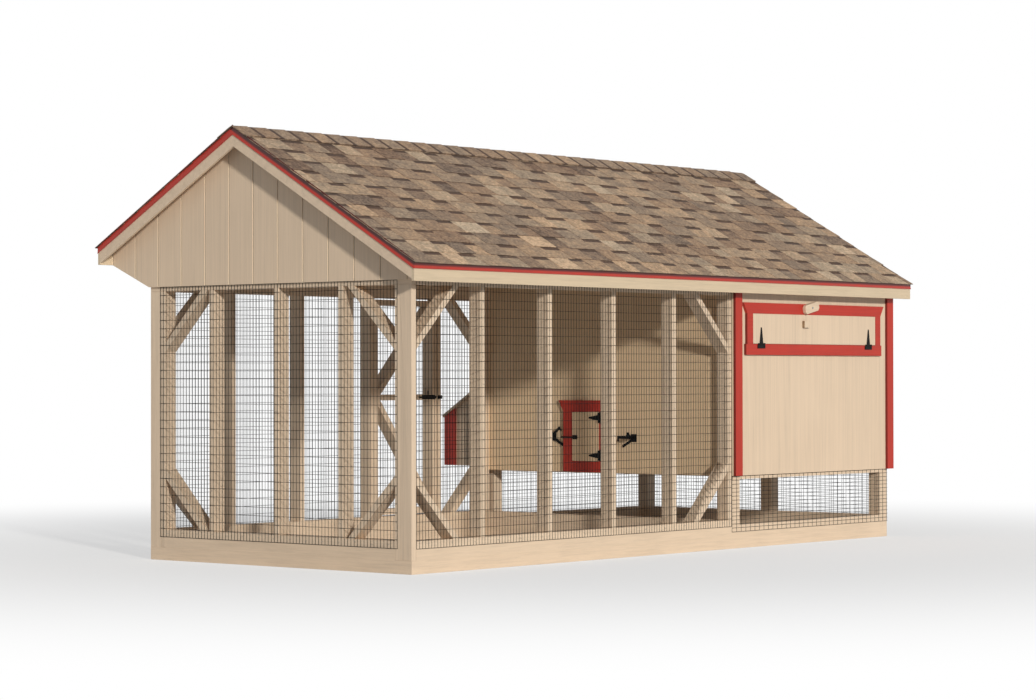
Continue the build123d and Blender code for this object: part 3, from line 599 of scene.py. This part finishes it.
for number in range(cap_count):
    part = another(cap)
    shade = min(max(pick.gauss(0.36, 0.07), 0.22), 0.50)
    # Painted shadow: the corners just past the cap before are marked darkest.
    in_cap_shadow = [number > 0 and shadow_from < v.co.x < shadow_to for v in part.data.vertices]
    marked(part, "tone", [-0.5 if dark else shade for dark in in_cap_shadow])
    marked(part, "warmth", [pick.uniform(0.2, 0.8)] * len(in_cap_shadow))
    for v in part.data.vertices:
        if number == 0:
            v.co.x *= cap_first / stations[-1]
        elif number == cap_count - 1:
            v.co.z -= free_end_lift * v.co.x / stations[-1]
    start = roof_x0 + cap_first + (number - 1) * cap_show - cap_lap if number else roof_x0
    part.data.transform(Matrix.Translation((start, ridge, apex)))
    caps.append(part)
ridge_row = one_piece("ridge_cap_row", caps, granules)
bpy.data.objects.remove(cap)
bpy.data.objects.remove(tooth)
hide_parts("ridge_cap")
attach(ridge_row, "coop")


# Folds of the drip edges: the sheet is hemmed upward beside the shingles along the run's rakes, and
# its lower rim is kicked out so that rain drips clear of the boards.
edge_lo, edge_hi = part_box("drip_edges")
rims = [v.co for v in cad["drip_edges"].data.vertices]
sheet, stand_off = 0.002, 0.0004


def fold(place):
    """One straight fold; place takes along, inward and upward from 0 to 1 and gives a point."""
    bpy.ops.mesh.primitive_cube_add(size=1, location=(0.5, 0.5, 0.5))
    bpy.ops.object.transform_apply()
    part = only(bpy.context.object)
    for v in part.data.vertices:
        v.co = place(*v.co)
    bpy.ops.object.mode_set(mode="EDIT")
    bpy.ops.mesh.select_all(action="SELECT")
    bpy.ops.mesh.normals_make_consistent(inside=False)
    bpy.ops.mesh.bevel(offset=0.0005, segments=2)
    bpy.ops.object.mode_set(mode="OBJECT")
    return part


folds = []
eave_kick = 0.0032
for face_y, out, tall in ((edge_lo.y, -1, 0.0115), (edge_hi.y, 1, 0.005)):
    foot = min(v.z for v in rims if abs(v.y - face_y) < 0.0005)

    def eave_lip(along, inward, upward):
        """A point of the lip that hangs from an eave."""
        x = edge_lo.x + along * (edge_hi.x - edge_lo.x)
        y = face_y + out * (stand_off + eave_kick * (1 - upward) - sheet * inward)
        return Vector((x, y, foot + sheet - tall * (1 - upward)))

    folds.append(fold(eave_lip))
lip = (-0.0425, -0.0345, 0.0, 0.0030)
for face_x, out in ((edge_lo.x, -1), (edge_hi.x, 1)):
    for tip, pitch, hem_top in ((edge_lo.y, near_pitch, 0.0070), (edge_hi.y, far_pitch, 0.0110)):
        drop = abs(tip - ridge) * pitch
        hem = (-0.0106, hem_top, hump, 0.0)
        for low, high, swell, kick in (hem, lip) if out < 0 else (lip,):

            def rake_fold(along, inward, upward):
                """A point of a fold that climbs a rake."""
                x = face_x + out * (stand_off + kick * (1 - upward) - sheet * inward)
                z = crest.z - (1 - along) * drop + low + upward * (high - low + swell * along)
                return Vector((x, tip + along * (ridge - tip), z))

            folds.append(fold(rake_fold))
drip_folds = one_piece("drip_edge_folds", folds, red_metal)
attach(drip_folds, "coop")


# Gable and house siding: sheets of wood siding with an embossed upright grain; the gables are
# grooved every eight inches. Painted beige outside and left bare on the inside of the house; the
# partition in the run is coloured warmer and lighter as painted sunlight through the wire.
siding_grain = (64, 64, 1.1)
siding_stops = coats(beige, (0.26, 0.72), (0.42, 0.92), (0.54, 0.99), (0.78, 1.09))
beige_siding = wood_finish("beige_siding", siding_stops, siding_grain, (0.55, 0.78), 0.0016)
bare_sheet = wood_finish("bare_sheet", pine_stops, (45, 45, 1.6), (0.65, 0.88), 0.0008)


def bare_inside(name, inward):
    """Leaves the faces of a siding sheet that look into the house unpainted."""
    piece = cad[name]
    piece.data.materials.append(bare_sheet)
    for face in piece.data.polygons:
        if face.normal.dot(Vector(inward)) > 0.9:
            face.material_index = 1


def lifted(stops, share):
    """The same stops with every colour times a share, up to white."""
    return [
        (spot, tuple(min(1.0, share * part) for part in colour[:3]) + (1,)) for spot, colour in stops
    ]


# Painted shade and highlight: groove floors take the siding colours at 0.40, groove sides at 1.42.
groove_shade_stops, groove_highlight_stops = lifted(siding_stops, 0.40), lifted(siding_stops, 1.42)
groove_floor = wood_finish("beige_groove_floor", groove_shade_stops, siding_grain, (0.7, 0.9), 0.0008)
groove_side = wood_finish("beige_groove_side", groove_highlight_stops, siding_grain, (0.5, 0.7), 0.0004)


def shaded_grooves(name, face):
    """Paints the floor of every groove in a gable sheet darker as painted shade, and its sides
    lighter as a painted highlight."""
    piece = cad[name]
    piece.data.materials.append(groove_floor)
    piece.data.materials.append(groove_side)
    number = len(piece.data.materials) - 2
    for panel in piece.data.polygons:
        reach = [piece.data.vertices[i].co for i in panel.vertices]
        shallow = all(abs(co.x - face) < 0.012 for co in reach)
        narrow = max(co.y for co in reach) - min(co.y for co in reach) < 0.03
        on_face = all(abs(co.x - face) < 0.0005 for co in reach)
        if shallow and narrow and not on_face:
            panel.material_index = number + (abs(panel.normal.x) < 0.5)


dressed(
    beige_siding, "beige_paint", "run_gable_siding", "near_siding", "far_siding", "end_siding"
)
# Painted light: the partition and the pop door leaf are coloured warmer and lighter than the other
# siding, standing in for sun falling on them through the wire.
sunlit_partition_stops = coats("EACEAA", (0.26, 0.74), (0.42, 0.96), (0.54, 1.04), (0.78, 1.15))
partition_painted_light = wood_finish("partition_painted_light", sunlit_partition_stops, siding_grain, (0.55, 0.78), 0.0016)
dressed(partition_painted_light, "beige_paint", "partition_siding")
for name, inward in (
    ("run_gable_siding", (1, 0, 0)),
    ("near_siding", (0, 1, 0)),
    ("far_siding", (0, -1, 0)),
    ("end_siding", (-1, 0, 0)),
    ("partition_siding", (1, 0, 0)),
):
    bare_inside(name, inward)
shaded_grooves("run_gable_siding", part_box("run_gable_siding")[0].x)
shaded_grooves("end_siding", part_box("end_siding")[1].x)


# Wire mesh: welded steel wire in a black coating, one by two inches, stapled over the outside of
# the run's frame and lapped onto the sills; under the house the same roll is turned a quarter.
black_coat = sheet_metal("black_wire_coat", "0D0B0A", (0.55, 0.72), 0.0, 900, 0.15)
wire_gauge = 0.0027
crossing = 0.92 * wire_gauge


def wire_panel(name, lo, hi, run, outward, pitch_along, pitch_up, stands_for, body="coop"):
    """Welds a panel from lo to hi; run is 0 along the length or 1 across it, outward its free side."""
    flat = 1 - run
    face = lo[flat] if outward < 0 else hi[flat]
    level_turn = (0, math.pi / 2, 0) if run == 0 else (math.pi / 2, 0, 0)
    rods = []
    for upright in (True, False):
        lie = run if upright else 2
        span = hi[2] - lo[2] if upright else hi[run] - lo[run]
        pitch = pitch_along if upright else pitch_up
        room = hi[lie] - lo[lie] - wire_gauge
        count = max(2, round(room / pitch) + 1)
        at = [(a + b) / 2 for a, b in zip(lo, hi)]
        at[lie] = lo[lie] + wire_gauge / 2
        at[flat] = face - outward * (wire_gauge / 2 - (0 if upright else crossing))
        bpy.ops.object.select_all(action="DESELECT")
        bpy.ops.mesh.primitive_cylinder_add(
            vertices=6,
            radius=wire_gauge / 2,
            depth=span,
            location=at,
            rotation=(0, 0, 0) if upright else level_turn,
        )
        rod = bpy.context.object
        bpy.ops.object.transform_apply()
        row = rod.modifiers.new("row", "ARRAY")
        row.count, row.use_relative_offset, row.use_constant_offset = count, False, True
        step = [0, 0, 0]
        step[lie] = room / (count - 1)
        row.constant_offset_displace = step
        bpy.ops.object.modifier_apply(modifier="row")
        bpy.ops.object.shade_smooth_by_angle(angle=math.radians(65))
        rods.append(rod)
    panel = one_piece(name, rods, black_coat)
    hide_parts(stands_for)
    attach(panel, body)


inch = 0.0254
lo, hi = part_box("near_mesh")
wire_panel("near_wire", lo, hi, 0, -1, inch, 2 * inch, "near_mesh")
lo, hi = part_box("gable_mesh")
wire_panel("gable_wire", lo, hi, 1, -1, inch, 2 * inch, "gable_mesh")
lo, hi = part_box("far_mesh")
door_lo, door_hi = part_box("run_door_mesh")
house_gap, gable_gap = 0.012, 0.004
past_door = Vector((door_hi.x + house_gap, lo.y, lo.z))
before_door = Vector((door_lo.x - gable_gap, hi.y, hi.z))
wire_panel("far_wire_short", past_door, hi, 0, 1, inch, 2 * inch, "far_mesh")
wire_panel("far_wire_long", lo, before_door, 0, 1, inch, 2 * inch, "far_mesh")
wire_panel("run_door_wire", door_lo, door_hi, 0, 1, inch, 2 * inch, "run_door_mesh", "run_door")
lo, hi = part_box("skirt_mesh")
thin = 0.002
for name, a, b, run, outward in (
    ("skirt_wire_near", lo, (hi.x - thin, lo.y + thin, hi.z), 0, -1),
    ("skirt_wire_far", (lo.x, hi.y - thin, lo.z), (hi.x - thin, hi.y, hi.z), 0, 1),
    ("skirt_wire_end", (hi.x - thin, lo.y + thin, lo.z), (hi.x, hi.y - thin, hi.z), 1, 1),
):
    wire_panel(name, Vector(a), Vector(b), run, outward, 2 * inch, inch, "skirt_mesh")
lo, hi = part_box("vent_screen")
wire_panel("vent_wire", lo, hi, 0, 1, inch / 2, inch / 2, "vent_screen")


# House floor, joists, studs and roosts: bare softwood inside the house, nailed up before the
# siding went on; the outer rim of the joists is painted with the rest.
dressed(level_timber, "beige_paint", "floor_joists", rounding=0.0015)
dressed(bare_level, "bare_wood", "house_floor")
bare_upright = wood_finish("bare_upright_timber", pine_stops, (60, 60, 3), (0.6, 0.85), 0.0010)
dressed(bare_upright, "bare_wood", "house_studs", rounding=0.0015)
bare_cross = wood_finish("bare_cross_timber", pine_stops, (60, 3, 60), (0.6, 0.85), 0.0010)
dressed(bare_cross, "bare_wood", "roost_bars", rounding=0.004)


# Red trims: planed boards nailed over the corners of the house and round the vent, the pop door,
# the nest box and the clean-out door, brushed brick red before they went up; the sawn edges of the
# trims on the house walls are coloured a darker red.
red_stops = coats(brick, (0.24, 0.66), (0.42, 0.90), (0.56, 1.04), (0.74, 1.20))
brushed = (0.50, 0.20, 0.30)
red_upright = wood_finish("brick_red_upright", red_stops, (70, 70, 2), (0.45, 0.68), 0.0008, brushed)
red_level = wood_finish("brick_red_level", red_stops, (3, 3, 70), (0.45, 0.68), 0.0008, brushed)
dressed(red_upright, "red_paint", "corner_trims", "pop_trim", "clean_trim", "nest_trim", rounding=0.0015)
dressed(red_level, "red_paint", "vent_trim", rounding=0.0015)
# The sawn edges take the trim colours at 0.42 of their strength.
darker_red_stops = lifted(red_stops, 0.42)
red_edges = wood_finish("brick_red_edges", darker_red_stops, (40, 40, 40), (0.6, 0.8), 0.0006)
thickest_edge = 0.0215
for name in ("corner_trims", "pop_trim", "clean_trim", "vent_trim"):
    trim = cad[name]
    trim.data.materials.append(red_edges)
    for face in trim.data.polygons:
        corners = [trim.data.vertices[i].co for i in face.vertices]
        spans = sorted(max(c[k] for c in corners) - min(c[k] for c in corners) for k in range(3))
        if spans[1] < thickest_edge:
            face.material_index = 1


# Vent flap, pop door leaf, run door, nest box and clean-out door: cut from the same siding and
# lumber as the walls and painted beige with them; the pop door leaf is the piece sawn out of the
# partition. The sides of the two pull blocks are painted dark as painted shade around them.
dressed(
    beige_siding, "beige_paint", "vent_flap", "clean_door", "nest_box", "nest_lid", rounding=0.001
)
# The pop door leaf takes the partition's painted sunlight.
dressed(partition_painted_light, "beige_paint", "pop_leaf", rounding=0.001)
dressed(upright_timber, "beige_paint", "run_door_frame", rounding=0.002)
dressed(level_timber, "beige_paint", "vent_button", "clean_button", rounding=0.003)
# Painted shade: every side face of the pull blocks on the vent flap and clean-out door takes this dark
# brown.
block_shade_stops = ((0.30, tone("6A523D")), (0.50, tone("8A6E53")), (0.72, tone("B0936F")))
block_side_shade = wood_finish("block_sides_painted_shade", block_shade_stops, (45, 45, 45), (0.7, 0.9), 0.0008)
block_depth = 0.018
for name, flat in (("vent_flap", 1), ("clean_door", 0)):
    lo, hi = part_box(name)
    cad[name].data.materials.append(block_side_shade)
    for face in cad[name].data.polygons:
        proud = face.center.y < lo.y + block_depth if flat else face.center.x > hi.x - block_depth
        if proud and abs(face.normal[flat]) < 0.5:
            face.material_index = 1


# Hinges, latches and bolt: pressed and punched steel with a black powder coat, screwed on.
# The pivot screws of the two wooden buttons are plain zinc.
black_hardware = sheet_metal("black_powder_coat", "090808", (0.46, 0.62), 0.0, 1200, 0.16)
dressed(
    black_hardware,
    "black_hardware",
    "hinge_butts",
    "hinge_pins",
    "vent_straps",
    "pop_straps",
    "run_door_straps",
    "nest_straps",
    "clean_straps",
    "pop_striker",
    "latch_plates",
    "latch_arm_closed",
    "latch_arm_held",
    "bolt_guide",
    "slide_bolt",
)
zinc = sheet_metal("zinc_screws", "A9A9A4", (0.25, 0.45), 0.9, 900)
dressed(zinc, "screw_steel", "pivot_screws")


# Screws: pan heads with a square drive, black like the straps, butts and latch plates they hold.
# Each strap has three in a row, each butt and latch plate one near either end.
def chosen_faces(piece, test):
    """Selects the faces of a piece that pass a test on their middle and normal, ready for edit mode."""
    only(piece)
    for bit in (*piece.data.vertices, *piece.data.edges):
        bit.select = False
    for face in piece.data.polygons:
        face.select = test(face.center, face.normal)
    bpy.ops.object.mode_set(mode="EDIT")
    bpy.ops.mesh.select_mode(type="FACE")


bpy.ops.object.select_all(action="DESELECT")
bpy.ops.mesh.primitive_cylinder_add(vertices=12, radius=0.0044, depth=0.0012, location=(0, 0, 0.0006))
screw = bpy.context.object
bpy.ops.object.transform_apply()
chosen_faces(screw, lambda middle, normal: normal.z > 0.9)
bpy.ops.mesh.inset(thickness=0.0010, depth=0.0009)
bpy.ops.mesh.inset(thickness=0.0012, depth=0.0004)
bpy.ops.mesh.inset(thickness=0.0001, depth=-0.0011)
bpy.ops.object.mode_set(mode="OBJECT")
bpy.ops.object.shade_smooth_by_angle(angle=math.radians(40))


def outer_faces(name, outward, smallest, way=None):
    """The flat faces of a CAD piece that look outward, lie outermost and are big enough, each as its
    middle, its long half and its short half."""
    mesh, outward = cad[name].data, Vector(outward).normalized()
    home = list(range(len(mesh.vertices)))

    def root(i):
        """The corner that stands for all corners of one face of the CAD solid."""
        while home[i] != i:
            i = home[i]
        return i

    for face in mesh.polygons:
        for i in face.vertices[1:]:
            home[root(i)] = root(face.vertices[0])
    flats = {}
    for face in mesh.polygons:
        if face.normal.dot(outward) > 0.97:
            key = (root(face.vertices[0]), round(face.center.dot(outward), 3))
            flats.setdefault(key, []).append(face)
    found = []
    for faces in flats.values():
        if sum(face.area for face in faces) < smallest:
            continue
        corners = [mesh.vertices[i].co for face in faces for i in face.vertices]
        pairs = [pair for face in faces for pair in face.edge_keys]
        rim = [mesh.vertices[a].co - mesh.vertices[b].co for a, b in pairs if pairs.count((a, b)) == 1]
        long_way = (Vector(way) if way else max(rim, key=lambda e: e.length)).normalized()
        short_way = outward.cross(long_way)
        spans = []
        for direction in (long_way, short_way):
            along = [co.dot(direction) for co in corners]
            spans.append(((max(along) + min(along)) / 2, (max(along) - min(along)) / 2))
        level = corners[0].dot(outward)
        middle = long_way * spans[0][0] + short_way * spans[1][0] + outward * level
        found.append((middle, long_way * spans[0][1], short_way * spans[1][1]))
    step_back = 0.006
    top = max(middle.dot(outward) for middle, far, wide in found)
    return [one for one in found if one[0].dot(outward) > top - step_back]


def fastened(name, model, spots, finish, body):
    """Sets copies of a fastener at (place, outward, turn) spots and joins them into one piece."""
    parts = []
    for place, outward, spin in spots:
        part = another(model)
        turned = Vector(outward).to_track_quat("Z", "Y").to_matrix().to_4x4()
        part.data.transform(Matrix.Translation(place) @ turned @ Matrix.Rotation(spin, 4, "Z"))
        parts.append(part)
    piece = one_piece(name, parts, finish)
    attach(piece, body)


pick = random.Random(17)
lid_fall = 0.64
strap_holes, butt_holes, plate_holes = (-0.62, -0.05, 0.52), (-0.78, 0.78), (-0.76, 0.76)
for name, node, outward, way, body in (
    ("vent_strap_screws", "vent_straps", (0, -1, 0), (0, 0, 1), "vent_flap"),
    ("pop_strap_screws", "pop_straps", (-1, 0, 0), (0, 1, 0), "pop_door"),
    ("run_door_strap_screws", "run_door_straps", (0, 1, 0), (1, 0, 0), "run_door"),
    ("nest_strap_screws", "nest_straps", (0, lid_fall, 1), (0, 1, -lid_fall), "nest_lid"),
    ("clean_strap_screws", "clean_straps", (1, 0, 0), (0, 1, 0), "clean_door"),
):
    spots = [
        (middle + share * far, outward, pick.uniform(0, 1.5))
        for middle, far, wide in outer_faces(node, outward, 0.0008, way)
        for share in strap_holes
    ]
    fastened(name, screw, spots, black_hardware, body)
spots = []
for outward in ((0, -1, 0), (-1, 0, 0), (0, 1, 0), (1, 0, 0)):
    for middle, far, wide in outer_faces("hinge_butts", outward, 0.0009):
        spots += [(middle + share * far, outward, pick.uniform(0, 1.5)) for share in butt_holes]
for middle, far, wide in outer_faces("latch_plates", (-1, 0, 0), 0.0009):
    for share in plate_holes:
        spots.append((middle + share * (far + wide), (-1, 0, 0), pick.uniform(0, 1.5)))
fastened("butt_screws", screw, spots, black_hardware, "coop")


# Nail heads in the trims, the fascia and the barge boards: driven flush and painted over with the
# board, so only a low round rim shows.
bpy.ops.object.select_all(action="DESELECT")
bpy.ops.mesh.primitive_cylinder_add(vertices=10, radius=0.0034, depth=0.0006, location=(0, 0, 0.0003))
nail = bpy.context.object
bpy.ops.object.transform_apply()
chosen_faces(nail, lambda middle, normal: normal.z > 0.9)
bpy.ops.mesh.inset(thickness=0.0009, depth=0.0003)
bpy.ops.mesh.inset(thickness=0.0006, depth=-0.0003)
bpy.ops.object.mode_set(mode="OBJECT")
end_room, wide_board, stray = 0.035, 0.03, 0.004


def nail_rows(node, outward, smallest, gap):
    """Spots for nails along the boards of a CAD piece, in pairs on the wide ones."""
    spots = []
    for middle, far, wide in outer_faces(node, outward, smallest):
        count = max(2, round(2 * far.length / gap) + 1)
        for i in range(count):
            share = (1 - (end_room + 0.6 * wide.length) / far.length) * (2 * i / (count - 1) - 1)
            for side in (-0.6, 0.6) if wide.length > wide_board else (0.0,):
                slip = Vector([pick.uniform(-stray, stray) for _ in range(3)])
                slip -= slip.dot(Vector(outward)) * Vector(outward)
                spots.append((middle + share * far + side * wide + slip, outward, 0.0))
    return spots


trim_gap, rafter_gap = 0.32, 0.605
red_nails = []
for node, outward, smallest in (
    ("corner_trims", (0, -1, 0), 0.03),
    ("corner_trims", (0, 1, 0), 0.03),
    ("corner_trims", (1, 0, 0), 0.03),
    ("vent_trim", (0, -1, 0), 0.006),
    ("pop_trim", (-1, 0, 0), 0.006),
    ("clean_trim", (1, 0, 0), 0.006),
):
    red_nails += nail_rows(node, outward, smallest, trim_gap)
fastened("red_nail_heads", nail, red_nails, red_upright, "coop")
beige_nails = []
for node, outward in (
    ("fascia_boards", (0, -1, 0)),
    ("fascia_boards", (0, 1, 0)),
    ("barge_boards", (-1, 0, 0)),
    ("barge_boards", (1, 0, 0)),
):
    beige_nails += nail_rows(node, outward, 0.05, rafter_gap)
fastened("beige_nail_heads", nail, beige_nails, upright_timber, "coop")


# Staples: galvanised wire bent to a bridge with two legs, shot through the mesh into the studs and
# in a row along the sills.
bpy.ops.object.select_all(action="DESELECT")
bpy.ops.mesh.primitive_cube_add(size=1, location=(0, 0, 0.0047), scale=(0.0086, 0.0013, 0.0011))
staple = bpy.context.object
bpy.ops.object.transform_apply()
for side in (-1, 1):
    chosen_faces(staple, lambda middle, normal: normal.x * side > 0.9)
    bpy.ops.mesh.extrude_region_move(TRANSFORM_OT_translate={"value": (0.0012 * side, 0, 0)})
    bpy.ops.object.mode_set(mode="OBJECT")
chosen_faces(staple, lambda middle, normal: normal.z < -0.9 and abs(middle.x) > 0.0044)
bpy.ops.mesh.extrude_region_move(TRANSFORM_OT_translate={"value": (0, 0, -0.0044)})
bpy.ops.object.mode_set(mode="OBJECT")
per_stud, per_sill, sill_row, door_room = 9, 15, 0.164, 0.02
spots = []
for outward in ((0, -1, 0), (0, 1, 0), (-1, 0, 0)):
    for middle, far, wide in outer_faces("run_studs", outward, 0.03):
        for i in range(per_stud):
            place = middle + far * (0.22 * i - 0.88) + wide * pick.uniform(-0.4, 0.4)
            spots.append((place, outward, pick.uniform(-0.6, 0.6)))
for node, outward in (("near_mesh", (0, -1, 0)), ("gable_mesh", (-1, 0, 0)), ("far_mesh", (0, 1, 0))):
    lo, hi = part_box(node)
    run = 0 if outward[0] == 0 else 1
    wall = (hi, lo)[max(outward) > 0][1 - run]
    for i in range(per_sill):
        place = Vector((0, 0, sill_row + pick.uniform(-0.006, 0.006)))
        place[run] = lo[run] + (i + 0.5) * (hi[run] - lo[run]) / per_sill
        place[1 - run] = wall
        at_door = door_lo.x - door_room < place.x < door_hi.x + door_room
        if node != "far_mesh" or not at_door:
            spots.append((place, outward, pick.uniform(-0.6, 0.6)))
fastened("wire_staples", staple, spots, zinc, "coop")
for model in (screw, nail, staple):
    bpy.data.objects.remove(model)
